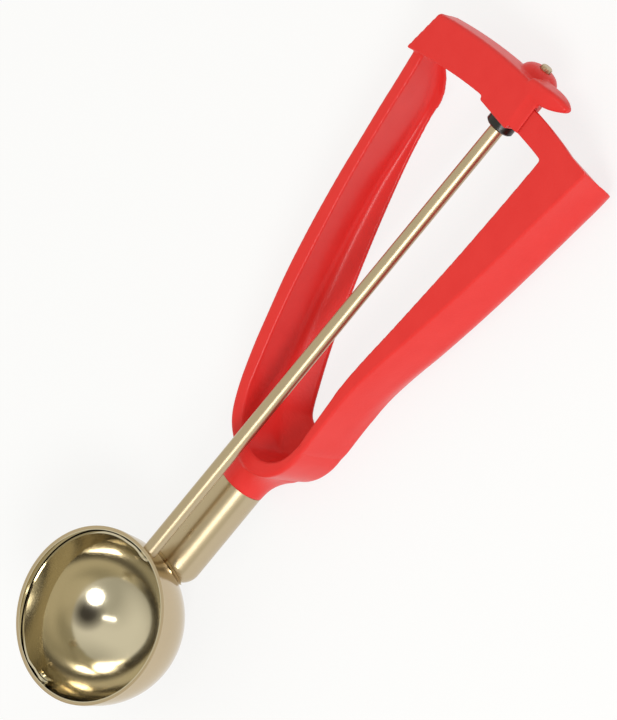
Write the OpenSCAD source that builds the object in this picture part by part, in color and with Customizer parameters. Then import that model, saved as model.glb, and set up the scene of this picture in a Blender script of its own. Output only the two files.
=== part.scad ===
// Squeeze-lever ice cream scoop, lying on the flat back of its handle.
// +X runs from the bowl to the head, +Y points to the fixed arm, +Z is up.
// The rod, bowl and ferrule lean by handle_tilt and are drawn in the rod's own
// frame: x along the rod from the bowl's centre, z along the bowl's opening.

/* [Bowl] */
// Outer radius of the hemispherical bowl
bowl_r = 25.6; // [21.2:0.1:28]
// Thickness of the bowl's sheet
bowl_wall = 0.7; // [0.5:0.1:1.2]
// Straight wall above the bowl's equator
bowl_lip = 3; // [2:0.5:6]
// Height of the rim's outer bead
rim_h = 1.2; // [0.8:0.1:2]
// How far the rim's bead stands out from the wall
rim_out = 0.45; // [0.2:0.05:1]

/* [Sweeper blade] */
// Width of the blade's strip
blade_w = 8; // [5:0.5:10]
// Thickness of the blade's strip
blade_t = 0.6; // [0.4:0.1:1]
// Gap between the blade's edges and the bowl's inside
blade_gap = 0.25; // [0.15:0.05:0.5]
// Angle of the resting blade below the rim plane
blade_rest = 8; // [6:1:12]
// Radius of the tabs at the blade's ends
tab_r = 2.9; // [2.7:0.1:3.4]

/* [Rod] */
// Diameter of the rod
rod_d = 4.5; // [3.7:0.05:5.4]
// Diameter of the splined upper end
spline_d = 3.5; // [3:0.1:3.6]
// Where the splined end begins, from the bowl's centre
spline_start = 196.6; // [196:0.1:197]
// Where the rod ends, from the bowl's centre
rod_end = 213.2; // [212.6:0.1:215]
// Radial running clearance of shafts
run_clear = 0.06; // [0.02:0.01:0.1]
// Gap between fixed round pieces that sit in each other
seat_clear = 0.04; // [0.02:0.01:0.06]

/* [Pivot rivet] */
// Diameter of the rivet's shank
rivet_d = 2.6; // [2.1:0.1:3.2]
// Radius of the rivet's inner head
rivet_head_r = 2.4; // [2.2:0.1:2.6]
// Radius of the rivet's outer head, below the rim's bead
rivet_cap_r = 1.75; // [1.6:0.05:1.8]
// Height of the rivet's outer head
rivet_head_h = 0.9; // [0.6:0.1:1.4]

/* [Ferrule] */
// Outer diameter of the tubular ferrule
ferrule_d = 14.2; // [11.8:0.1:17.2]
// Wall of the ferrule
ferrule_wall = 0.8; // [0.6:0.1:1.2]
// Distance of the ferrule's axis below the rod's axis
ferrule_drop = 15.2; // [14.5:0.1:16]
// How deep the ferrule's closed end would reach into the bowl's sphere
nose_in = 6.1; // [5.5:0.1:7]
// Corner radius of the closed end
nose_r = 5.5; // [4:0.5:5.8]
// Where the ferrule meets the handle, from the bowl's centre
ferrule_end = 54.8; // [53:0.2:57]
// Size of the weld bead's section
weld_w = 0.7; // [0.5:0.1:1]

/* [Handle] */
// Lean of the rod and bowl against the handle's plane
handle_tilt = 5; // [4.5:0.1:5.5]
// Height of the bowl's centre above the handle's front
bowl_rise = 10.3; // [10:0.1:11]
// Thickness of the handle, from its back to its front
handle_t = 20; // [19:0.5:24]
// Thickness of the back plate behind the pocket
plate_t = 3; // [2:0.5:5]
// Length of the tang inside the ferrule
tang_l = 16; // [10:1:20]

/* [Head] */
// Wall of the head in front of the sliding bar
head_wall = 1.45; // [1.2:0.05:2]
// Back face of the head's bar above the rest plane
head_back = 12.5; // [11:0.5:13.5]
// Inner radius of the arched head
arch_r = 146.9; // [146:0.1:148]
// Height of the arched head along the handle
arch_h = 13.4; // [12:0.2:15]
// Right end of the head's bar
head_end_y = -6.6; // [-7.5:0.1:-6]
// Radius of the round gear housing
boss_r = 6.05; // [5.6:0.05:7]
// Height of the dome above the head
dome_h = 2.8; // [2:0.1:3.2]
// Radius of the dome's flat top
dome_top_r = 2.4; // [2.2:0.1:3]

/* [Gearing] */
// Teeth on the pinion
pinion_teeth = 8; // [8:1:10]
// Turns of the pinion for one turn of the lever
gear_ratio = 36; // [34:1:38]
// Pressure angle of the teeth
pressure = 25; // [24:1:28]
// Tooth height above the pitch line, as a share of the module
addendum = 0.6; // [0.5:0.05:0.65]
// Tooth depth below the pitch line, as a share of the module
dedendum = 0.85; // [0.8:0.05:0.95]
// Thinning of each tooth at the pitch line
backlash = 0.14; // [0.1:0.02:0.2]

/* [Lever] */
// Thickness of the flexing root of the squeeze lever
flex_t = 3; // [2.6:0.1:3.4]
// Lean of the lever's end face, back towards the root
tip_lean = 23; // [18:1:26]
// Clearance round the sliding bar
slide_clear = 0.35; // [0.3:0.05:0.5]

/* [Bushing] */
// Radius of the bushing's flange
flange_r = 4.4; // [4.3:0.1:5]
// Thickness of the bushing's flange
flange_t = 3.4; // [3:0.1:3.8]

/* [Hidden] */
$fn = 72;
eps = 0.01;

red = [0.86, 0.16, 0.16];
steel = [0.72, 0.68, 0.60];
origin_x = 66;

// Flexing root, seen as an upright hinge line
hinge_x = 88;
hinge_y = -15;

bowl_in = bowl_r - bowl_wall;
bowl_h = handle_t + bowl_rise;
ferrule_nose = bowl_r - nose_in;
rod_r = rod_d / 2;
spline_r = spline_d / 2;
ferrule_r = ferrule_d / 2;
rivet_r = rivet_d / 2;

// Blade strip: its outer face is a cylinder whose edges clear the sphere
blade_out = sqrt(pow(bowl_in - blade_gap, 2) - pow(blade_w / 2, 2));
blade_in = blade_out - blade_t;
stud_r = 1.6;
stake_r = 2.3;
stake_t = 0.6;
washer_t = 0.3;
wall_gap = 0.08;

// Gear sizes follow from the lever's reach and the ratio
gear_mid = 200.5;
gear_l = 6.4;
reach = sqrt(pow(gear_mid * cos(handle_tilt) - hinge_x, 2) + pow(hinge_y, 2));
pitch_r = reach / gear_ratio;
module_mm = 2 * pitch_r / pinion_teeth;
pinion_out = pitch_r + addendum * module_mm;
pinion_root = pitch_r - dedendum * module_mm;
base_r = pitch_r * cos(pressure);
bore_r = pinion_out + 0.4;
gear_start = gear_mid - gear_l / 2;
gear_end = gear_mid + gear_l / 2;
rod_z_at_gear = bowl_h - gear_mid * sin(handle_tilt);

// Radii about the hinge line: sliding bar and its narrow toothed tongue
bar_in = 107.4;
bar_out = 116.8;
tongue_in = 111;
tongue_out = 116;
bar_back = rod_z_at_gear + pitch_r + dedendum * module_mm + 0.15;
bar_root = -3.4;
lever_tip = -11.3;
bar_end = 5.1;
tongue_end = 9.4;
squeeze_max = 4.6;
pad_face = 193.6;
pad_x = 193.9;
pad_w = 12.4;
ear_front = handle_t - 1.5;
head_front = handle_t + slide_clear + head_wall;
arch_x = 50;
arch_y = -16.5;
head_top = 209.2;
bush_relief = 193.8;

// Smooth curve through a list of plan points
function blend(a, b, c, d, t) = 0.5 * ((2 * b) + (c - a) * t + (2 * a - 5 * b + 4 * c - d) * t * t
    + (3 * b - a - 3 * c + d) * t * t * t);
function smooth(p, steps = 5) = [for (i = [0:len(p) - 2]) for (k = [0:steps - 1])
    blend(p[max(i - 1, 0)], p[i], p[i + 1], p[min(i + 2, len(p) - 1)], k / steps), p[len(p) - 1]];
function turned(p) = [for (i = [len(p) - 1:-1:0]) p[i]];

// Involute flank: radius and polar angle at roll angle a
function inv_r(a) = base_r / cos(a);
function inv_a(a) = tan(a) * 180 / PI - a;

// Outlines of the handle, seen from the front
arm_outer = [[61, -3], [65, 4.2], [68.5, 9.8], [74, 13.4], [84, 17.4], [110, 24.5], [140, 29.8], [165, 32.7],
    [186, 34.6]];
arm_inner = [[187, 31], [173, 29.6], [132, 24], [97, 16.7], [80, 12.2], [71, 7.4], [66.8, 1], [67.4, -6.5],
    [70, -10.4], [74, -12.6], [79, -13.6], [hinge_x - 0.8, hinge_y + flex_t / 2]];
root_outer = [[hinge_x - 0.8, hinge_y - flex_t / 2], [79, -16.4], [72, -15.4], [65.5, -11.4], [61, -6.4]];
plate_edge = [[180, 33.2], [174, 30.2], [152, 25.7], [134, 21.1], [112, 14.4], [97, 9.2], [86, 4.4], [75, -1.5],
    [72, -8], [72, -13]];
lever_inner = [[hinge_x + 1, hinge_y + flex_t / 2], [102, -13.2], [129, -16], [167, -19.6], [190, -21.2]];
lever_outer = [[188, -34.8], [158, -29.4], [130, -23.8], [109, -18.9], [97, -16.8],
    [hinge_x + 1, hinge_y - flex_t / 2]];

module place() {
    translate([-origin_x, 0, 0]) children();
}

// Rod frame: x along the rod from the bowl's centre, z out of the bowl
module in_rod_frame() {
    place() translate([0, 0, bowl_h]) rotate([0, handle_tilt, 0]) children();
}

// A solid of revolution about the rod frame's x axis; profile points are [radius, x]
module along_rod(profile) {
    rotate([0, 90, 0]) rotate([0, 0, 180]) rotate_extrude() polygon(profile);
}

// A cylinder along the rod from x = a to x = b
module rod_bar(r, a, b) {
    translate([a, 0, 0]) rotate([0, 90, 0]) cylinder(r = r, h = b - a);
}

// A flat ring sector about the hinge line, between two angles
module hinge_sector(r1, r2, a1, a2, z1, z2) {
    translate([hinge_x, hinge_y, z1]) rotate([0, 0, a1])
        rotate_extrude(angle = a2 - a1) translate([r1, 0]) square([r2 - r1, z2 - z1]);
}

module bowl_profile() {
    difference() {
        union() {
            intersection() {
                circle(r = bowl_r, $fn = 120);
                translate([0, -bowl_r]) square([bowl_r, bowl_r]);
            }
            square([bowl_r, bowl_lip]);
            translate([0, bowl_lip - rim_h]) square([bowl_r + rim_out, rim_h]);
        }
        intersection() {
            circle(r = bowl_in, $fn = 120);
            translate([0, -bowl_in]) square([bowl_in, bowl_in + eps]);
        }
        square([bowl_in, bowl_lip + 1]);
    }
}

module bowl() {
    color(steel) in_rod_frame() difference() {
        rotate_extrude($fn = 120) bowl_profile();
        rod_bar(rod_r + run_clear, bowl_in - 2, bowl_r + 2);
        rod_bar(rivet_r + seat_clear, -bowl_r - 2, -bowl_in + 2);
    }
}

// Outline of the ferrule's outside, grown by g, as [radius, x] points
function nose_arc(g) = [for (a = [0:9:90])
    [ferrule_r - nose_r + (nose_r + g) * sin(a), ferrule_nose + nose_r - (nose_r + g) * cos(a)]];
function ferrule_skin(g, top) = concat([[0, ferrule_nose - g]], nose_arc(g), [[ferrule_r + g, top], [0, top]]);

module on_ferrule_axis() {
    translate([0, 0, -ferrule_drop]) children();
}

module ferrule() {
    color(steel) in_rod_frame() difference() {
        on_ferrule_axis() along_rod(ferrule_skin(0, ferrule_end));
        on_ferrule_axis() rod_bar(ferrule_r - ferrule_wall, ferrule_nose + nose_r, ferrule_end + 1);
        sphere(r = bowl_r + seat_clear, $fn = 120);
    }
}

module ferrule_weld() {
    color(steel) in_rod_frame() difference() {
        intersection() {
            on_ferrule_axis() along_rod(ferrule_skin(weld_w, bowl_r + 2));
            sphere(r = bowl_r + weld_w, $fn = 120);
        }
        on_ferrule_axis() along_rod(ferrule_skin(seat_clear, ferrule_end));
        sphere(r = bowl_r + seat_clear, $fn = 120);
    }
}

module pivot_rivet() {
    inside = -(blade_in - 0.15);
    outside = -(bowl_r + 0.05);
    color(steel) in_rod_frame() {
        along_rod([[0, outside - rivet_head_h], [rivet_cap_r * 0.7, outside - rivet_head_h],
            [rivet_cap_r, outside - rivet_head_h * 0.5], [rivet_cap_r, outside], [rivet_r, outside],
            [rivet_r, inside], [rivet_head_r, inside], [rivet_head_r, inside + 0.4],
            [rivet_head_r * 0.7, inside + 0.7], [0, inside + 0.7]]);
    }
}

module pivot_washer() {
    wall_x = sqrt(pow(bowl_in, 2) - pow(rivet_head_r, 2));
    color(steel) in_rod_frame() difference() {
        rod_bar(rivet_head_r, -wall_x + wall_gap, -wall_x + wall_gap + washer_t);
        rod_bar(rivet_r + run_clear, -bowl_r, -blade_in);
    }
}

// Trimmed strip: full width over the arc, narrow rounded tabs at both pivots
module blade_strip() {
    tab_turn = asin(tab_r / blade_out);
    tab_top = blade_w / 2 - tab_r;
    intersection() {
        translate([0, 0, -blade_w / 2]) rotate([0, 0, -tab_turn])
            rotate_extrude(angle = 180 + 2 * tab_turn, $fn = 120)
                translate([blade_in, 0]) square([blade_t, blade_w]);
        union() {
            rod_bar(tab_r, -bowl_r, bowl_r);
            translate([-bowl_r, 0, -tab_r]) cube([2 * bowl_r, bowl_r, 2 * tab_r]);
            translate([-bowl_r, 2 * tab_r, -blade_w / 2]) cube([2 * bowl_r, bowl_r, blade_w]);
            translate([0, tab_r, 0]) rotate([90, 0, 90]) translate([0, 0, -bowl_r])
                linear_extrude(2 * bowl_r) polygon([[-tab_r, 0], [0, tab_r], [tab_r, tab_r + tab_top],
                    [tab_r, -tab_r - tab_top], [0, -tab_r]]);
        }
    }
}

module sweeper_blade() {
    color(steel) in_rod_frame() rotate([-blade_rest, 0, 0]) difference() {
        blade_strip();
        rod_bar(stud_r + seat_clear, 0, bowl_r);
        rod_bar(rivet_r + run_clear, -bowl_r, 0);
    }
}

module blade_washer() {
    color(steel) in_rod_frame() difference() {
        rod_bar(rod_r, blade_out + 0.02, blade_out + 0.02 + washer_t);
        rod_bar(stud_r + seat_clear, 0, bowl_r);
    }
}

module rod() {
    shoulder = blade_out + 0.04 + washer_t;
    stake = blade_in - 0.12;
    color(steel) in_rod_frame() difference() {
        along_rod([[0, stake - stake_t], [stake_r * 0.7, stake - stake_t], [stake_r, stake - stake_t / 2],
            [stake_r, stake], [stud_r, stake], [stud_r, shoulder], [rod_r, shoulder], [rod_r, spline_start],
            [spline_r, spline_start], [spline_r, rod_end - 0.3], [spline_r - 0.3, rod_end], [0, rod_end]]);
        for (a = [0:30:330])
            rotate([a, 0, 0]) translate([spline_start + 0.6, spline_r - 0.12, -0.15])
                cube([rod_end, 1, 0.3]);
    }
}

// Outline of the toothed rim: root corner, both flanks, next root corner
function tooth_points(turn) =
    let (tip = acos(base_r / pinion_out),
        half = 90 / pinion_teeth + inv_a(pressure) - backlash / pitch_r * 90 / PI,
        side = concat([[pinion_root, half + 2]], [for (i = [0:6]) [inv_r(tip * i / 6), half - inv_a(tip * i / 6)]]))
    concat([for (p = side) p[0] * [cos(turn - p[1]), sin(turn - p[1])]],
        [for (p = turned(side)) p[0] * [cos(turn + p[1]), sin(turn + p[1])]]);

module pinion() {
    pitch_turn = 360 / pinion_teeth;
    color([0.9, 0.88, 0.82]) in_rod_frame() translate([gear_start, 0, 0]) rotate([0, 90, 0])
        rotate([0, 0, pitch_turn / 2]) difference() {
            linear_extrude(gear_l) polygon([for (i = [0:pinion_teeth - 1]) each tooth_points(i * pitch_turn)]);
            translate([0, 0, -1]) cylinder(r = spline_r + seat_clear, h = gear_l + 2);
        }
}

module rod_bushing() {
    top = gear_start - 0.3;
    face = pad_face - 0.1;
    color([0.12, 0.10, 0.09]) difference() {
        in_rod_frame() difference() {
            union() {
                along_rod([[0, face - flange_t], [flange_r - 0.5, face - flange_t],
                    [flange_r, face - flange_t + 0.5], [flange_r, face], [0, face]]);
                rod_bar(bore_r - seat_clear, face, top);
            }
            rod_bar(rod_r + run_clear, face - flange_t - 1, top + 1);
        }
        // relief that lets the sliding bar pass in front
        place() translate([bush_relief, -10, bar_back - slide_clear]) cube([10, 20, 10]);
    }
}

// The arched bar, trimmed at the fold on the right and along the arm on the left
module head_plan() {
    intersection() {
        translate([arch_x, arch_y]) difference() {
            circle(r = arch_r + arch_h, $fn = 180);
            circle(r = arch_r, $fn = 180);
        }
        polygon([[180, head_end_y], [220, head_end_y], [220, 31], [180, 37.5]]);
    }
}

module head() {
    place() translate([0, 0, head_back]) {
        linear_extrude(head_front - head_back) head_plan();
        translate([pad_x, head_end_y, 0]) cube([5, pad_w, head_front - head_back]);
    }
}

// Small ear that overhangs the sliding bar
module ear() {
    place() translate([0, 0, head_back]) linear_extrude(ear_front - head_back)
        polygon(concat([[205.4, head_end_y + 1], [208, head_end_y + 1]], smooth([[210.6, -6.5], [212, -9.5],
            [211.9, -12.6], [210.2, -13.9], [208.2, -12.6], [206.6, -11], [205.4, -10.4]])));
}

module gear_housing() {
    top = head_top;
    in_rod_frame() along_rod([[0, pad_face], [boss_r, pad_face], [boss_r, top],
        [boss_r - 0.6, top + dome_h * 0.45], [boss_r - 1.7, top + dome_h * 0.8], [dome_top_r, top + dome_h],
        [0, top + dome_h]]);
}

module collar() {
    in_rod_frame() on_ferrule_axis() rod_bar(ferrule_r, ferrule_end + seat_clear, ferrule_end + 1.5);
}

module neck() {
    hull() {
        collar();
        place() translate([66, -9.5, 0.01]) cube([1, 13.5, handle_t - 0.02]);
    }
}

module tang() {
    in_rod_frame() on_ferrule_axis()
        rod_bar(ferrule_r - ferrule_wall - seat_clear, ferrule_end - tang_l, ferrule_end + 1);
}

// Fixed arm and root web: a wall of full depth with a thin back plate
module arm_plan() {
    polygon(concat(smooth(arm_outer), [[197, 34.8], [197, 31.6]], smooth(arm_inner), smooth(root_outer)));
}

module plate_plan() {
    polygon(concat(smooth(arm_outer), smooth(plate_edge), [[75, -15.9]], smooth([[72, -15.4], [65.5, -11.4], [61, -6.4]])));
}

module arm_body() {
    place() difference() {
        union() {
            linear_extrude(handle_t) arm_plan();
            linear_extrude(plate_t) plate_plan();
        }
        translate([hinge_x, hinge_y, -1]) cylinder(r = flex_t / 2 + run_clear, h = handle_t + 2);
        translate([178, 20, 0]) rotate([0, 44, 0]) translate([0, 0, -30]) cube([30, 30, 30]);
    }
}

module handle_frame() {
    color(red) difference() {
        union() {
            arm_body();
            neck();
            tang();
            head();
            ear();
            gear_housing();
        }
        place() hinge_sector(bar_in - slide_clear, bar_out + slide_clear, -20, bar_end + squeeze_max + 0.6,
            bar_back - slide_clear, handle_t + slide_clear);
        place() hinge_sector(tongue_in - slide_clear, tongue_out + slide_clear, 0, tongue_end + squeeze_max + 0.6,
            rod_z_at_gear, handle_t + slide_clear);
        in_rod_frame() rod_bar(bore_r, pad_face - 3, gear_end + 0.3);
        in_rod_frame() rod_bar(spline_r + run_clear, gear_end, rod_end + 2);
    }
}

// One rack tooth under the tongue, at the pinion, parallel to the rod
module rack_tooth() {
    half = module_mm * PI / 4 - backlash / 2;
    run = tan(pressure);
    in_rod_frame() translate([gear_mid, 0, pitch_r]) rotate([90, 0, 90])
        linear_extrude(4.4, center = true) polygon([
            [-half - run * dedendum * module_mm, dedendum * module_mm + 0.8],
            [-half + run * addendum * module_mm, -addendum * module_mm],
            [half - run * addendum * module_mm, -addendum * module_mm],
            [half + run * dedendum * module_mm, dedendum * module_mm + 0.8]]);
}

module rack() {
    step = 360 / pinion_teeth / gear_ratio;
    for (i = [-1:5])
        translate([hinge_x - origin_x, hinge_y, 0]) rotate([0, 0, -i * step])
            translate([origin_x - hinge_x, -hinge_y, 0]) rack_tooth();
}

// Points on an arc about the hinge line
function hinge_arc(r, a1, a2, steps) = [for (i = [0:steps])
    let (a = a1 + (a2 - a1) * i / steps) [hinge_x + r * cos(a), hinge_y + r * sin(a)]];

// The squeezed arm alone, and with the bar and its toothed tongue
module lever_plan() {
    polygon(concat(smooth(lever_inner), hinge_arc(bar_out, bar_root, lever_tip, 4), smooth(lever_outer)));
}

module lever_and_bar_plan() {
    polygon(concat(smooth(lever_inner), hinge_arc(bar_in, bar_root, bar_end, 4),
        hinge_arc(tongue_in, bar_end, tongue_end, 3), hinge_arc(tongue_out, tongue_end, bar_end, 3),
        hinge_arc(bar_out, bar_end, bar_root, 4), hinge_arc(bar_out, bar_root, lever_tip, 4),
        smooth(lever_outer)));
}

module squeeze_lever() {
    color(red) union() {
        place() difference() {
            union() {
                linear_extrude(bar_back) lever_plan();
                translate([0, 0, bar_back]) linear_extrude(handle_t - bar_back) lever_and_bar_plan();
                translate([hinge_x, hinge_y, 0]) cylinder(r = flex_t / 2, h = handle_t);
            }
            translate([203.8, -60, handle_t]) rotate([0, tip_lean, 0]) translate([0, 0, -40]) cube([30, 36, 50]);
        }
        rack();
    }
}

bowl();
ferrule();
ferrule_weld();
handle_frame();
rod_bushing();
pivot_rivet();
pivot_washer();
squeeze_lever();
rod();
pinion();
sweeper_blade();
blade_washer();
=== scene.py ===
import math

import bpy
from mathutils import Matrix, Vector


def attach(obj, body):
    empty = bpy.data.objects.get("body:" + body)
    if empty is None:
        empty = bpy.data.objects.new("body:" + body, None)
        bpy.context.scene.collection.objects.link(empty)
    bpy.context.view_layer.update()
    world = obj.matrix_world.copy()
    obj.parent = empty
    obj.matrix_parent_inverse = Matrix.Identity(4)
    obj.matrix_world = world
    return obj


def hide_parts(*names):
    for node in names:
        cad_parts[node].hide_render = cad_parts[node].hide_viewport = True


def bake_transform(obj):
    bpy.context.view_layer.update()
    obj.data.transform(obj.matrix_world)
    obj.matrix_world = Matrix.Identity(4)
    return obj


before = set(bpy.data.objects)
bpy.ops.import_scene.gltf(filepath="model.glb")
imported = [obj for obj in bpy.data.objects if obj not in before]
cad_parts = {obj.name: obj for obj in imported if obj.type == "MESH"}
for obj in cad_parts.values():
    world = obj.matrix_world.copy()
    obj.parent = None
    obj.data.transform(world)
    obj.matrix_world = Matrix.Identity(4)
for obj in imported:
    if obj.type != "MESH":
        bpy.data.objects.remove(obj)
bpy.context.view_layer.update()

# Camera. The photograph looks at the tool from the right of its head and half from above, rolled so
# that the rod climbs from the lower left to the upper right. A long lens keeps its lines parallel.
MM = 0.001
bowl_centre = Vector((-66.0, 0.0, 30.3)) * MM
view_right = Vector((0.5528, -0.5540, -0.6226)).normalized()
view_back = view_right.cross(Vector((0.7450, 0.6640, 0.0703))).normalized()
view_up = view_back.cross(view_right)
bowl_left_of_middle = 61.0 * MM
bowl_below_middle = 73.7 * MM
frame_height = 205.2 * MM
aim_depth = 40 * MM
camera_distance = 6.0
camera_data = bpy.data.cameras.new("camera")
camera_data.sensor_width = 36
camera_data.lens = camera_data.sensor_width * camera_distance / frame_height
camera = bpy.data.objects.new("camera", camera_data)
camera.matrix_world = Matrix((view_right, view_up, view_back)).transposed().to_4x4()
camera.location = (bowl_centre + view_right * bowl_left_of_middle + view_up * bowl_below_middle
                   + view_back * (camera_distance + aim_depth))
bpy.context.collection.objects.link(camera)
bpy.context.scene.camera = camera
bpy.context.scene.view_settings.view_transform = "Standard"


# Studio. A pale matt floor, a grey room with softly lighter and darker parts, and two soft lamps: a
# round one whose face shows as the bright spot in the bowl, and a narrow strip like a window.
class Wire:
    """One output of a shader node. Plain arithmetic on it adds Math nodes to the same finish."""

    def __init__(self, finish, socket):
        self.finish = finish
        self.socket = socket

    def math(self, operation, *values):
        return self.finish.node("ShaderNodeMath", {"operation": operation}, *values)

    def __add__(self, other):
        return self.math("ADD", self, other)

    __radd__ = __add__

    def __mul__(self, other):
        return self.math("MULTIPLY", self, other)

    __rmul__ = __mul__


class Finish:
    """A material, or the room, and its nodes. node() makes any node: settings, then sockets."""

    def __init__(self, name, library=bpy.data.materials, shader="Principled BSDF"):
        self.material = library.new(name)
        self.material.use_nodes = True
        self.tree = self.material.node_tree
        self.surface = self.tree.nodes[shader]

    def node(self, kind, settings=None, *values, output=0, **named):
        made = self.tree.nodes.new(kind)
        for key, value in (settings or {}).items():
            if key == "stops":
                for stop, (place, color) in zip(made.color_ramp.elements, value):
                    stop.position = place
                    stop.color = color
            else:
                setattr(made, key, value)
        for index, value in enumerate(values):
            self.feed(made.inputs[index], value)
        for key, value in named.items():
            self.feed(made.inputs[key.replace("_", " ")], value)
        return Wire(self, made.outputs[output])

    def feed(self, socket, value):
        if isinstance(value, Wire):
            self.tree.links.new(value.socket, socket)
        else:
            socket.default_value = value

    def set(self, **named):
        for key, value in named.items():
            self.feed(self.surface.inputs[key.replace("_", " ")], value)

    def blend(self, factor, low, high):
        """Mixes two colours by a factor."""
        mixed = self.node("ShaderNodeMix", {"data_type": "RGBA"}, output=2)
        node = mixed.socket.node
        for index, value in ((0, factor), (6, low), (7, high)):
            self.feed(node.inputs[index], value)
        return mixed

    def place(self, turn=(0, 0, 0)):
        """Object coordinates, turned."""
        return self.node("ShaderNodeMapping", None,
                         self.node("ShaderNodeTexCoord", None, output="Object"), Rotation=turn)


WHITE_SHARE = 0.8


def paper_finish():
    """Pale paper that shows as nearly white, to the camera and in the steel, and keeps its shadow."""
    paper = Finish("studio_paper")
    cloud = paper.node("ShaderNodeTexNoise", None, paper.place(), Scale=3.0, Detail=3.0)
    shaded_paper = (0.91, 0.91, 0.90, 1)
    light_paper = (0.94, 0.94, 0.94, 1)
    paper.set(Base_Color=paper.blend(cloud, shaded_paper, light_paper), Roughness=0.9)
    seen = [paper.node("ShaderNodeLightPath", None, output=ray)
            for ray in ("Is Camera Ray", "Is Glossy Ray", "Is Transmission Ray")]
    white = paper.node("ShaderNodeEmission", None, (1, 1, 1, 1), 1.0)
    matt = Wire(paper, paper.surface.outputs[0])
    share = (seen[0] + seen[1] + seen[2]) * WHITE_SHARE
    sheet = paper.node("ShaderNodeMixShader", None, share, matt, white)
    paper.feed(paper.tree.nodes["Material Output"].inputs["Surface"], sheet)
    return paper.material


bpy.ops.object.select_all(action="DESELECT")
bpy.ops.mesh.primitive_plane_add(size=6)
studio_floor = bpy.context.object
studio_floor.name = "studio_floor"
studio_floor.data.materials.append(paper_finish())


def furnished_room():
    """A grey room with soft lighter and darker parts, for the polished steel to show."""
    room = Finish("room", bpy.data.worlds, "Background")
    facing = room.node("ShaderNodeTexCoord", None, output="Generated")
    parts = room.node("ShaderNodeTexNoise", None, facing, Scale=0.9, Detail=0.0)
    darker_part = (0.36, (0.48, 0.47, 0.40, 1))
    lighter_part = (0.62, (0.80, 0.78, 0.69, 1))
    tones = room.node("ShaderNodeValToRGB", {"stops": (darker_part, lighter_part)}, parts)

    # A dark doorway behind the camera, which the middle of the bowl shows
    doorway = (view_back + view_right * 0.2 - view_up * 0.08).normalized()
    towards_door = room.node("ShaderNodeVectorMath", {"operation": "DOT_PRODUCT"}, facing,
                             tuple(doorway), output="Value")
    door_edge = (0.90, (0, 0, 0, 1))
    door_middle = (0.99, (1, 1, 1, 1))
    dim = room.node("ShaderNodeValToRGB", {"stops": (door_edge, door_middle)}, towards_door)
    door_color = (0.05, 0.045, 0.04, 1)
    room.set(Color=room.blend(dim, tones, door_color), Strength=1.08)
    return room.material


bpy.context.scene.world = furnished_room()


LAMP_DISTANCE = 1.4


def soft_lamp(name, towards, across, power, tall=None):
    """A lamp that faces the middle of the tool, round unless it is given a height."""
    lamp = bpy.data.lights.new(name, "AREA")
    lamp.shape = "RECTANGLE" if tall else "DISK"
    lamp.size = across
    if tall:
        lamp.size_y = tall
    lamp.energy = power
    holder = bpy.data.objects.new(name, lamp)
    holder.location = Vector(towards).normalized() * LAMP_DISTANCE
    holder.rotation_euler = Vector(towards).to_track_quat("Z", "Y").to_euler()
    bpy.context.collection.objects.link(holder)


key_direction = (-0.03, -0.74, 0.67)
window_direction = view_back - view_right * 0.36 + view_up * 0.02
soft_lamp("key", key_direction, across=0.48, power=8.4)
soft_lamp("window", window_direction, across=0.1, power=0.6, tall=0.42)


# Bowl. Spun from polished stainless sheet with a rolled bead at the rim; fine rings are left by the
# polishing. The CAD solid is kept and gets its finish.
HANDLE_TILT = math.radians(5)
BETWEEN_BOWL_SKINS = 25.3 * MM


def polished_steel(name, warm, stretch, rough, inside=None):
    """Steel with fine lines: stretch is how tight they lie along, across and up from the rod.

    A colour for inside goes on the bowl's inner skin: a lighter, paler copy of the same steel, a painted
    reflection for the skin that shows itself again and again."""
    steel = Finish(name)
    along = steel.place(turn=(0, -HANDLE_TILT, 0))
    lines = steel.node("ShaderNodeTexNoise", None,
                       steel.node("ShaderNodeVectorMath", {"operation": "MULTIPLY"}, along, stretch),
                       Scale=1.0, Detail=3.0)
    smudge = steel.node("ShaderNodeTexNoise", None, steel.place(), Scale=70.0, Detail=4.0)
    color = steel.blend(smudge, (*warm, 1), (*(c * 1.1 for c in warm), 1))
    if inside:
        reach = steel.node("ShaderNodeVectorMath", {"operation": "DISTANCE"}, steel.place(),
                           tuple(bowl_centre), output="Value")
        outer_skin = steel.node("ShaderNodeMath", {"operation": "GREATER_THAN"}, reach,
                                BETWEEN_BOWL_SKINS)
        # Painted reflection: the inner skin takes a lighter, paler copy of the steel's colour, standing in
        # for how it reflects itself.
        color = steel.blend(outer_skin, (*inside, 1), color)
    dents = steel.node("ShaderNodeTexNoise", None, steel.place(), Scale=110.0, Detail=1.0)
    steel.set(Base_Color=color, Metallic=1.0, Roughness=rough + smudge * 0.08 + lines * 0.05,
              Normal=steel.node("ShaderNodeBump", None, Strength=0.05, Distance=0.0002, Height=dents))
    return steel.material


def dress(node_name, material):
    """Gives a CAD node its finish."""
    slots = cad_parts[node_name].data.materials
    slots.clear()
    slots.append(material)


# The inside colour is a painted reflection: a lighter copy of the same steel on the bowl's inner skin.
bowl_steel = polished_steel("spun_steel", warm=(0.53, 0.43, 0.285), stretch=(60, 60, 2500), rough=0.06,
                            inside=(0.67, 0.605, 0.455))
dress("bowl", bowl_steel)


# Sweeper blade with its rivet and washers. The blade is a curved strip of the same bright steel. The
# rivet holds it at the bowl's far side, and the rod drives it at the near side.
for part in ("pivot_rivet", "pivot_washer", "sweeper_blade", "blade_washer"):
    dress(part, bowl_steel)


# Ferrule and its weld. A drawn steel tube with a closed round nose stands against the bowl, and a
# weld bead joins them. The faint lines of the drawing run along the tube.
dress("ferrule_weld", bowl_steel)
tube_steel = polished_steel("tube_steel", warm=(0.52, 0.425, 0.28), stretch=(6, 260, 260), rough=0.22)
dress("ferrule", tube_steel)


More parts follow.
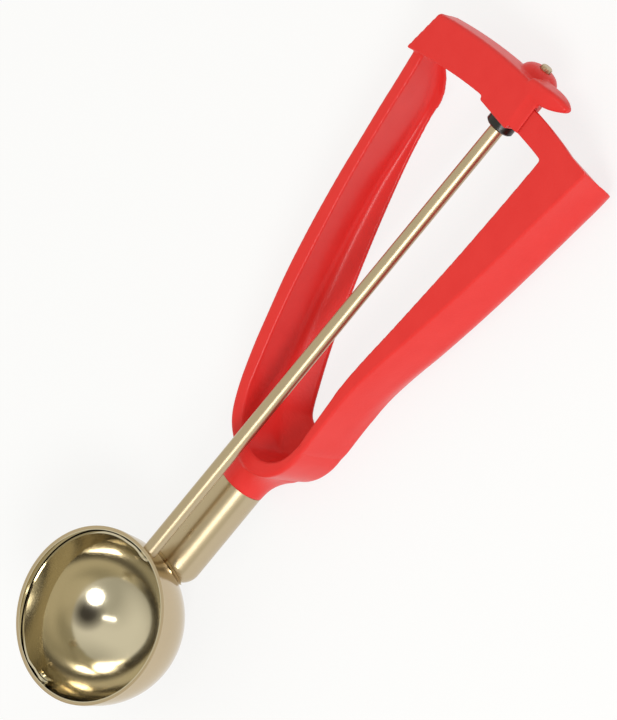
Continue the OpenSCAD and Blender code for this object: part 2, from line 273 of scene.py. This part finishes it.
# Rod. A straight length of drawn steel, a little duller than the tube, splined at its head end and
# staked to the blade inside the bowl.
rod_steel = polished_steel("drawn_steel", warm=(0.52, 0.425, 0.28), stretch=(8, 500, 500), rough=0.30)
dress("rod", rod_steel)


# Rod bush. A black moulded flange with a short sleeve, pressed into the head, that the rod turns in.
# Its surface has the fine grain of a moulding.
def moulded(name, color, rough):
    """Plastic as it comes out of a mould, in one colour with a fine grain."""
    plastic = Finish(name)
    grain = plastic.node("ShaderNodeTexNoise", None, plastic.place(), Scale=900.0, Detail=2.0)
    plastic.set(Base_Color=color, Roughness=rough,
                Normal=plastic.node("ShaderNodeBump", None, Strength=0.12, Distance=0.0003, Height=grain))
    return plastic.material


dress("rod_bushing", moulded("black_bush_plastic", (0.007, 0.006, 0.005, 1), 0.32))


# Pinion. A small white moulded gear pressed on the rod's splined end. It sits in the head, where the
# teeth of the sliding bar drive it.
dress("pinion", moulded("white_gear_plastic", (0.82, 0.80, 0.74, 1), 0.45))


# Handle moulding. Red polypropylene, moulded in one with its neck, fixed arm, curved head and the
# round housing of the gear. It is laid up from rings of points, then fused and smoothed so that its
# edges are soft. Plan sizes are in millimetres in the tool's own frame, x from the bowl's centre.
ROOT_X = 66.0
HANDLE_T = 20.0
ROD_HEIGHT = 30.3


def at(x, y, z):
    """A point in the frame's metres, for plan millimetres counted from the bowl's centre."""
    return Vector((x - ROOT_X, y, z)) * MM


def on_rod(along, side, out):
    """A point given along the tilted rod, to its side and out from it."""
    x = along * math.cos(HANDLE_TILT) + out * math.sin(HANDLE_TILT)
    z = ROD_HEIGHT + out * math.cos(HANDLE_TILT) - along * math.sin(HANDLE_TILT)
    return at(x, side, z)


def rod_ring(along, radius, points, drop=0):
    """A ring of points about the rod, or about a line that lies lower than the rod by drop."""
    return [on_rod(along, radius * math.cos(2 * math.pi * p / points),
                   radius * math.sin(2 * math.pi * p / points) - drop) for p in range(points)]


def between(rows, steps):
    """Rows of numbers with a smooth curve run through each column."""
    curve = []
    for i in range(len(rows) - 1):
        around = rows[max(i - 1, 0)], rows[i], rows[i + 1], rows[min(i + 2, len(rows) - 1)]
        for k in range(steps):
            t = k / steps
            curve.append([0.5 * (2 * start + (end - before) * t
                                 + (2 * before - 5 * start + 4 * end - after) * t ** 2
                                 + (3 * start - before - 3 * end + after) * t ** 3)
                          for before, start, end, after in zip(*around)])
    return curve + [list(rows[-1])]


def rounded(corners, steps=4):
    """A closed ring through corners given as (point, radius), each turned on a short curve."""
    ring = []
    for i, (corner, radius) in enumerate(corners):
        last = corners[i - 1][0] - corner
        following = corners[(i + 1) % len(corners)][0] - corner
        start = corner + last * min(0.5, radius * MM / max(last.length, 1e-9))
        end = corner + following * min(0.5, radius * MM / max(following.length, 1e-9))
        for k in range(steps + 1):
            t = k / steps
            ring.append(start * (1 - t) ** 2 + corner * 2 * t * (1 - t) + end * t ** 2)
    return ring


def skin(name, rings):
    """A closed tube through rings of points: a grid laid over them, sewn up and capped."""
    around = len(rings[0])
    bpy.ops.object.select_all(action="DESELECT")
    bpy.ops.mesh.primitive_grid_add(x_subdivisions=around, y_subdivisions=len(rings) - 1, size=1)
    piece = bpy.context.object
    piece.name = name
    for number, corner in enumerate(piece.data.vertices):
        corner.co = rings[number // (around + 1)][number % (around + 1) % around]
    bpy.ops.object.mode_set(mode="EDIT")
    bpy.ops.mesh.select_all(action="SELECT")
    bpy.ops.mesh.remove_doubles(threshold=1e-6)
    bpy.ops.mesh.select_all(action="SELECT")
    bpy.ops.mesh.fill_holes(sides=0)
    bpy.ops.mesh.select_all(action="SELECT")
    bpy.ops.mesh.normals_make_consistent(inside=False)
    bpy.ops.object.mode_set(mode="OBJECT")
    return piece


def pick(*pieces):
    """Selects these pieces and no others, with the first one active."""
    bpy.ops.object.select_all(action="DESELECT")
    for piece in pieces:
        piece.select_set(True)
    bpy.context.view_layer.objects.active = pieces[0]


def join(name, pieces):
    """Makes one object of these pieces, whether they overlap or not."""
    pick(*pieces)
    bpy.ops.object.join()
    pieces[0].name = name
    return pieces[0]


def finish_modifier(piece, kind, **settings):
    """Adds a modifier and applies it."""
    pick(piece)
    step = piece.modifiers.new("step", kind)
    for key, value in settings.items():
        setattr(step, key, value)
    bpy.ops.object.modifier_apply(modifier=step.name)


SKIN_VOXEL = 0.4
SMOOTH_PASSES = 4


def fuse(name, parts):
    """Joins overlapping parts into one skin with soft inner and outer edges."""
    piece = join(name, parts)
    finish_modifier(piece, "REMESH", mode="VOXEL", voxel_size=SKIN_VOXEL * MM)
    finish_modifier(piece, "SMOOTH", factor=0.5, iterations=SMOOTH_PASSES)
    return piece


def cut(piece, cutters):
    """Takes the cutters' shapes out of a piece."""
    for cutter in cutters:
        finish_modifier(piece, "BOOLEAN", operation="DIFFERENCE", object=cutter, solver="EXACT")
        bpy.data.objects.remove(cutter)


# Stations round the arm and root: outer corner, front inner edge, crease of the trough with its
# height, back inner edge, and the height of the arm's back
arm_stations = [
    (196, 35.8, 196, 30.0, 195, 30.5, 14.5, 194, 29.6, 13.2),
    (189, 35.1, 189, 31.0, 188.5, 31.2, 11.8, 188, 29.2, 10.0),
    (183, 34.5, 183, 30.4, 183, 31.2, 8.2, 183, 28.2, 6.2),
    (176, 33.8, 176, 29.7, 176, 31.2, 4.0, 176, 28.5, 1.5),
    (169, 33.2, 169, 29.1, 169, 31.0, 2.2, 168.5, 28.8, 0.1),
    (157, 31.9, 157, 27.8, 157, 29.8, 2.0, 156, 26.6, 0),
    (144, 30.5, 144, 26.0, 144, 28.3, 2.8, 143, 23.4, 0),
    (128, 28.2, 128, 23.2, 128, 25.0, 4.0, 128, 19.2, 0),
    (112, 25.2, 112, 20.2, 112, 20.9, 5.2, 112, 14.2, 0),
    (99, 21.9, 99, 17.2, 99, 16.9, 6.2, 99, 9.7, 0),
    (88, 18.9, 88, 14.2, 88, 13.0, 7.0, 87, 4.6, 0),
    (76.8, 15.0, 79, 11.6, 78.6, 8.6, 7.4, 80, 1.0, 0),
    (68.8, 10.6, 72, 7.6, 74, 4.4, 7.4, 78.5, -2.0, 0),
    (64.2, 4.6, 68, 2.8, 70.2, 0.8, 7.4, 77.5, -5.5, 0),
    (61.6, -2.5, 66.6, -2.0, 68.2, -3.0, 7.4, 77, -8.0, 0),
    (63.2, -9.2, 67.4, -6.8, 69.0, -7.0, 7.2, 77, -9.8, 0),
    (67.6, -13.5, 70.2, -10.6, 71.4, -9.9, 6.8, 77, -11.4, 0),
    (73.5, -15.8, 74.4, -12.8, 75.2, -12.0, 6.0, 78, -12.6, 0),
    (79.5, -16.2, 79.7, -13.7, 79.8, -13.7, 5.0, 80, -13.7, 0),
    (81.5, -16.2, 81.5, -13.8, 81.5, -13.8, 5.0, 81.5, -13.8, 0),
]
EDGE_THICKNESS = 1.1
arm_rings = []
for (outer_x, outer_y, front_x, front_y, crease_x, crease_y, crease_z, back_x, back_y,
     low) in between(arm_stations, 5):
    edge_top = min(low + EDGE_THICKNESS, crease_z - 0.2)
    arm_rings.append(rounded([(at(outer_x, outer_y, low), 1.2), (at(outer_x, outer_y, HANDLE_T), 1.2),
                              (at(front_x, front_y, HANDLE_T), 0.5), (at(crease_x, crease_y, crease_z), 2.6),
                              (at(back_x, back_y, edge_top), 0.3), (at(back_x, back_y, low), 0.3)]))
arm = skin("arm", arm_rings)

# Neck: a tang inside the ferrule, then from the round collar to the root's full depth
FERRULE_END = 54.8
FERRULE_DROP = 15.2
TANG_R = 6.1
COLLAR_R = 7.2
NECK_LENGTH = 10.6
NECK_STEPS = 12
NECK_POINTS = 40
tang_profile = [(44, 5.6), (44.8, TANG_R), (50, TANG_R), (FERRULE_END + 3, TANG_R)]
tang = skin("tang", [rod_ring(along, radius, NECK_POINTS, FERRULE_DROP) for along, radius in tang_profile])
neck_rings = []
for step in range(NECK_STEPS + 1):
    share = step / NECK_STEPS
    grow = share ** 2.4
    squareness = 1 - 0.5 * grow
    ring = []
    for point in range(NECK_POINTS):
        angle = 2 * math.pi * point / NECK_POINTS
        across, up = math.cos(angle), math.sin(angle)
        side = math.copysign(abs(across) ** squareness, across) * (COLLAR_R + 1.2 * grow) - 2.1 * grow
        deepening = 2.7 * grow if up < 0 else 3.0 * share ** 0.9
        high = math.copysign(abs(up) ** squareness, up) * (COLLAR_R + deepening)
        ring.append(on_rod(FERRULE_END - 0.1 + NECK_LENGTH * share, side, high - FERRULE_DROP + 0.6 * grow))
    neck_rings.append(ring)
neck = skin("neck", neck_rings)

# Head: a curved bar from the fold on the right to the arm on the left
HEAD_FRONT = 21.8
HEAD_BACK = 12.5
HEAD_END_Y = -6.6
INNER_SPAN, OUTER_SPAN = 42.9, 40.6
HEAD_STEPS = 24
ARCH_X, ARCH_Y, ARCH_R, ARCH_H = 50.0, -16.5, 146.9, 13.4
head_rings = []
for step in range(HEAD_STEPS + 1):
    share = step / HEAD_STEPS
    y_low = HEAD_END_Y + INNER_SPAN * share
    y_high = HEAD_END_Y + OUTER_SPAN * share
    x_low = ARCH_X + math.sqrt(ARCH_R ** 2 - (y_low - ARCH_Y) ** 2)
    x_high = ARCH_X + math.sqrt((ARCH_R + ARCH_H) ** 2 - (y_high - ARCH_Y) ** 2)
    head_rings.append(rounded([(at(x_low, y_low, HEAD_BACK), 0.6), (at(x_low, y_low, HEAD_FRONT), 0.9),
                               (at(x_high, y_high, HEAD_FRONT), 1.4),
                               (at(x_high - 0.8, y_high, HEAD_BACK), 0.8)]))
head_bar = skin("head_bar", head_rings)

# Step of the head over the bush
PAD_X, PAD_END_X = 193.9, 199
pad_rings = [rounded([(at(PAD_X, y, HEAD_BACK), 0.4), (at(PAD_X, y, HEAD_FRONT), 0.9),
                      (at(PAD_END_X, y, HEAD_FRONT), 0.4), (at(PAD_END_X, y, HEAD_BACK), 0.4)])
             for y in (HEAD_END_Y, -6.0, 0, 5.3, 5.8)]
pad = skin("pad", pad_rings)

# Soft lip that runs out over the sliding bar. Stations: y, front face
LIP_X, LIP_END_X, LIP_BACK = 195.4, 206.8, 19
lip_stations = [(-5.0, HEAD_FRONT), (-6.3, HEAD_FRONT), (-7.4, 21.35), (-8.8, 20.95), (-10.4, 20.7)]
lip_rings = []
for y, front in lip_stations:
    lip_rings.append(rounded([(at(LIP_X, y, LIP_BACK), 0.1), (at(LIP_X, y, front), 0.2),
                              (at(LIP_END_X, y, front), 0.2), (at(LIP_END_X, y, LIP_BACK), 0.1)]))
lip = skin("lip", lip_rings)

# Round gear housing with its dome, turned about the rod. Profile: place along the rod, radius
dome_profile = [(193.6, 6.05), (209.2, 6.05), (210.2, 5.65), (211.2, 4.6), (211.8, 3.4), (212.0, 2.4)]
housing = skin("housing", [rod_ring(along, radius, points=48) for along, radius in dome_profile])

# Ear: a thumb of plastic that runs on from the head's outer edge, beside the sliding bar.
# Stations: y, inner and outer x, back and front face
ear_stations = [
    (-4.0, 204.0, 211.0, 13.0, 21.8),
    (-7.5, 206.0, 211.6, 13.0, 21.6),
    (-10.5, 206.3, 212.1, 13.2, 21.1),
    (-13.0, 206.9, 212.3, 13.6, 20.3),
    (-15.2, 208.0, 212.3, 14.2, 19.4),
    (-17.0, 209.2, 211.9, 15.0, 18.6),
    (-17.7, 209.9, 211.5, 15.6, 18.0),
]
ear = skin("ear", [rounded([(at(inner, y, low), 1.2), (at(inner, y, high), 1.2), (at(outer, y, high), 1.6),
                            (at(outer - 0.4, y, low), 1.6)])
                   for y, inner, outer, low, high in between(ear_stations, 3)])

handle_moulding = fuse("handle_moulding", [arm, tang, neck, head_bar, pad, lip, housing, ear])

# Slot of the sliding bar and chamber of the pinion, cut out of the head
HINGE_X, HINGE_Y = 88.0, -15.0


def about_hinge(radius, turn, z):
    """A point at a radius from the hinge line, turned about it from the x direction."""
    return at(HINGE_X + radius * math.cos(turn), HINGE_Y + radius * math.sin(turn), z)


def hinge_sweep(name, near, far, low, high, first, last, undercut=0):
    """A bar swept about the hinge line between two angles, in degrees."""
    steps = 12
    corners = [(near, low), (near, high), (far, high), (far - undercut, low)]
    rings = []
    for step in range(steps + 1):
        turn = math.radians(first + (last - first) * step / steps)
        rings.append(rounded([(about_hinge(radius, turn, z), 0.3) for radius, z in corners], steps=2))
    return skin(name, rings)


def rod_bore(name, radius, start, end):
    """A plain cylinder about the rod's axis, to cut with."""
    return skin(name, [rod_ring(along, radius, points=32) for along in (start, end)])


SLOT_FRONT = 20.35
cut(handle_moulding, [
    hinge_sweep("bar_slot", near=107.0, far=117.2, low=16.5, high=SLOT_FRONT, first=-8, last=10.3),
    hinge_sweep("tongue_slot", near=110.6, far=116.4, low=14.6, high=SLOT_FRONT, first=6, last=14.6),
    rod_bore("gear_chamber", radius=4.1, start=190, end=204.0),
    rod_bore("rod_hole", radius=1.85, start=203.5, end=216),
])


def red_plastic():
    """Satin red plastic with a faint mottle, flow marks and a fine grain."""
    plastic = Finish("red_moulded_plastic")
    place = plastic.place()
    mottle = plastic.node("ShaderNodeTexNoise", None, place, Scale=140.0, Detail=3.0)
    grain = plastic.node("ShaderNodeTexNoise", None, place, Scale=1400.0, Detail=2.0)
    flow = plastic.node("ShaderNodeTexNoise", None, place, Scale=45.0, Detail=2.0)
    deep_red = (0.75, 0.030, 0.028, 1)
    bright_red = (0.81, 0.042, 0.038, 1)
    plastic.set(Base_Color=plastic.blend(mottle, deep_red, bright_red),
                Specular_IOR_Level=0.15, Coat_Weight=0.16, Coat_Roughness=0.18,
                Roughness=0.30 + flow * 0.14,
                Normal=plastic.node("ShaderNodeBump", None, Strength=0.25, Distance=0.0002,
                                    Height=grain + mottle * 0.5))
    return plastic.material


red = red_plastic()
SMOOTH_ANGLE = math.radians(40)


def wear(piece, material, body, slot_name, *nodes):
    """Gives a finished piece its material, smooth shading and body, and hides the CAD nodes it stands for.
    """
    piece.data.materials.clear()
    piece.data.materials.append(material)
    pick(piece)
    bpy.ops.object.shade_smooth_by_angle(angle=SMOOTH_ANGLE)
    if body:
        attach(piece, body)
    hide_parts(*nodes)


wear(handle_moulding, red, "handle", "red_plastic", "handle_frame")


# Squeezed arm. It grows out of the root through a thin flexing stretch, widens to a broad flat face
# with a ridge and a shallow valley along its outer side, and carries the toothed bar at its end.
# Stations: x, inner face, ridge, valley, swell, back edge, and the lean of the section
lever_stations = [
    (73, -13.2, -15.2, -15.2, -15.2, -15.2, 0),
    (77, -13.6, -15.9, -16.0, -16.0, -15.9, 0),
    (80, -13.6, -16.3, -16.4, -16.5, -16.4, 0),
    (86, -13.5, -16.5, -16.6, -16.8, -16.5, 0),
    (94, -13.3, -16.7, -17.1, -17.6, -16.8, 0),
    (102, -13.2, -17.2, -18.0, -18.9, -17.4, 0),
    (112, -14.0, -18.8, -20.1, -21.5, -19.3, 0),
    (124, -15.4, -21.5, -22.9, -24.9, -22.3, 0),
    (138, -16.9, -24.7, -26.2, -28.4, -25.3, 0),
    (154, -18.5, -28.1, -29.4, -31.6, -28.5, 0),
    (170, -19.8, -31.1, -32.2, -34.5, -31.2, 0),
    (184, -20.8, -33.5, -34.4, -36.7, -33.4, 0.06),
    (195, -21.5, -35.5, -36.1, -38.1, -34.6, 0.24),
    (203.7, -22.0, -37.0, -37.4, -39.0, -35.4, 0.37),
]
lever_rings = []
for x, inner, ridge, valley, swell, back, lean in between(lever_stations, 5):
    # Corners: y, z, radius, and the corner's share of the lean
    corners = [(inner, 0, 0.6, 1.45), (back, 0, 0.8, 1.15), (swell, 5.5, 2.5, 0.97), (valley, 14.5, 3.0, 1),
               (ridge, HANDLE_T, 0.4, 1), (inner, HANDLE_T, 0.6, 1)]
    lever_rings.append(rounded([(at(x - (HANDLE_T - z) * lean * share, y, z), radius)
                                for y, z, radius, share in corners]))
lever_arm = skin("lever_arm", lever_rings)
BAR_BACK = 16.85
bar = hinge_sweep("bar", near=107.4, far=116.6, low=BAR_BACK, high=HANDLE_T, first=-9, last=5.1,
                  undercut=1.3)
tongue = hinge_sweep("tongue", near=111.0, far=116.0, low=BAR_BACK, high=HANDLE_T, first=4.6, last=9.3)
squeezed_arm = fuse("squeezed_arm", [lever_arm, bar, tongue])
wear(squeezed_arm, red, None, "red_plastic", "squeeze_lever")
at(80, HINGE_Y, 10)
at(97, HINGE_Y, 10)
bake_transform(squeezed_arm)

# Rack. A row of small straight teeth moulded in one with the bar, along the back of its tongue. They
# run in the head's slot and turn the pinion.
TOOTH_STEP = math.radians(1.267)
FIRST_TOOTH = math.radians(2.4)
TOOTH_COUNT = 6
TOOTH_ROOT = BAR_BACK + 0.4
TOOTH_TIP = BAR_BACK - 0.75
TOOTH_RADII = (111.2, 111.5, 114.3, 114.6)
tooth_profile = [(-0.34, TOOTH_ROOT), (-0.12, TOOTH_TIP), (0.12, TOOTH_TIP), (0.34, TOOTH_ROOT)]
rack_teeth = []
for number in range(TOOTH_COUNT):
    middle = FIRST_TOOTH + TOOTH_STEP * number
    tooth_rings = []
    for radius in TOOTH_RADII:
        tooth_rings.append(rounded([(about_hinge(radius, middle + TOOTH_STEP * share, z), 0.12)
                                    for share, z in tooth_profile], steps=2))
    rack_teeth.append(skin("rack_tooth", tooth_rings))
rack = join("rack", rack_teeth)
rack.data.materials.append(red)
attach(rack, "lever")
